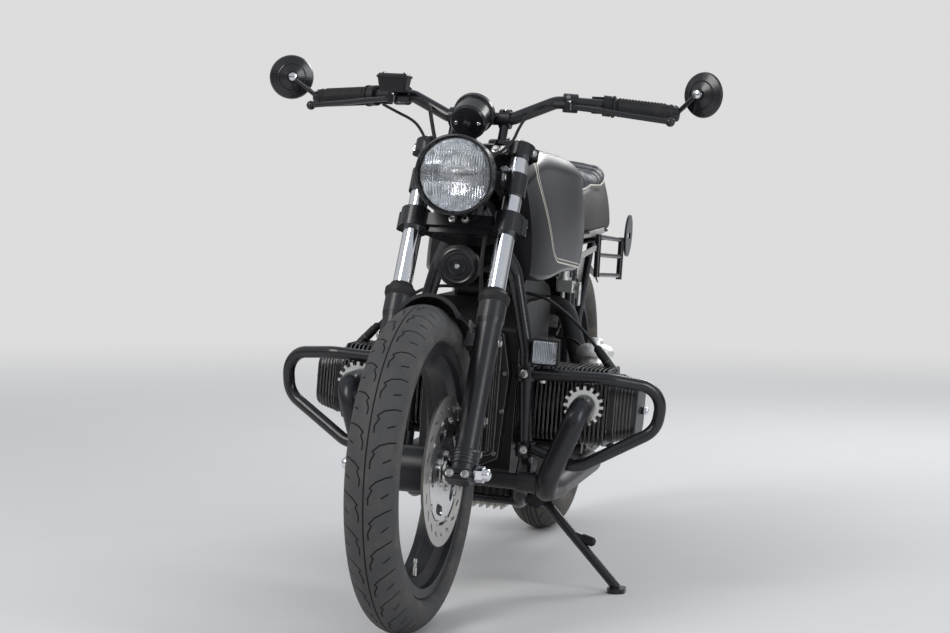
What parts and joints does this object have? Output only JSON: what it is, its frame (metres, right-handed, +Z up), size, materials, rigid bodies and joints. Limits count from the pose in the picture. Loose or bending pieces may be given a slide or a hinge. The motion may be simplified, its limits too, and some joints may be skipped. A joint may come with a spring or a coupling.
{
  "type": "cafe racer motorcycle",
  "caption": "Black cafe racer motorcycle with a finned flat twin engine, wide bars, round lamp and cast wheels, leaning on its side stand.",
  "frame": {"origin": "on the ground, under the middle of the bounding box of the parked motorcycle", "axes": "+X to the left side of the motorcycle, +Y to its rear, +Z up; it leans to +X on its side stand"},
  "size_m": [0.9532, 2.0923, 1.1133],
  "materials": {
    "tyre": "worn rubber",
    "cast_black": "satin black",
    "frame_black": "gloss black",
    "body_black": "satin graphite black",
    "engine_black": "matt black",
    "aluminium": "dull cast",
    "steel": "brushed",
    "chrome": "polished",
    "rubber": "matt",
    "plastic": "satin",
    "leather": "dark, stitched",
    "glass": "clear",
    "mirror": "silvered",
    "red_lens": "clear red"
  },
  "bodies": {
    "chassis": {"main_frame": "frame_black", "subframe": "frame_black", "crankcase": "engine_black", "front_cover": "engine_black", "sump": "aluminium", "gearbox": "engine_black", "air_box": "engine_black", "cylinders": "engine_black", "cylinder_heads": "engine_black", "rocker_covers": "engine_black", "exhaust_nuts": "aluminium", "exhaust_headers": "engine_black", "silencers": "engine_black", "carburettors": "aluminium", "inlet_ducts": "rubber", "swing_arm": "frame_black", "final_drive": "cast_black", "rear_shock": "frame_black", "rear_mudguard": "body_black", "fuel_tank": "body_black", "fuel_cap": "frame_black", "petcock": "aluminium", "seat": "leather", "seat_base": "plastic", "battery_box": "plastic", "tail_lamp": "red_lens", "crash_bars": "frame_black", "indicators": "plastic", "horn": "plastic", "foot_pegs": "rubber", "bag_carrier": "frame_black", "engine_leads": "rubber"},
    "fork": {"front_axle": "chrome", "fork_sliders": "cast_black", "dust_seals": "rubber", "stanchions": "chrome", "lower_yoke": "frame_black", "top_yoke": "frame_black", "front_mudguard": "body_black", "handlebar": "frame_black", "grips": "rubber", "mirrors": "frame_black", "mirror_glass": "mirror", "switch_blocks": "plastic", "lever_perches": "frame_black", "levers": "frame_black", "reservoir": "plastic", "headlamp_shell": "body_black", "headlamp_rim": "frame_black", "headlamp_lens": "glass", "lamp_brackets": "frame_black", "speedometer": "frame_black", "brake_caliper": "cast_black", "control_cables": "rubber"},
    "front_wheel": {"front_tyre": "tyre", "front_rim": "cast_black", "brake_disc": "steel"},
    "rear_wheel": {"rear_tyre": "tyre", "rear_rim": "cast_black"},
    "side_stand": {"side_stand": "frame_black"}
  },
  "joints": [
    {"name": "steering", "type": "hinge", "parent": "chassis", "child": "fork", "pos_m": [-0.01856, -0.44654, 0.76903], "axis": [0.0617, 0.4665, 0.8823], "range_deg": [-31.4, 38.6]},
    {"name": "front_wheel_spin", "type": "hinge", "parent": "fork", "child": "front_wheel", "pos_m": [-0.05312, -0.73467, 0.31179], "axis": [0.9976, -0.0556, -0.0404], "continuous": true},
    {"name": "rear_wheel_spin", "type": "hinge", "parent": "chassis", "child": "rear_wheel", "pos_m": [-0.04901, 0.71226, 0.33333], "axis": [0.9976, 0, -0.0698], "continuous": true},
    {"name": "side_stand_fold", "type": "hinge", "parent": "chassis", "child": "side_stand", "pos_m": [0.08729, -0.15976, 0.18963], "axis": [0.7457, 0.0001, 0.6663], "range_deg": [0, 91.9]}
  ]
}
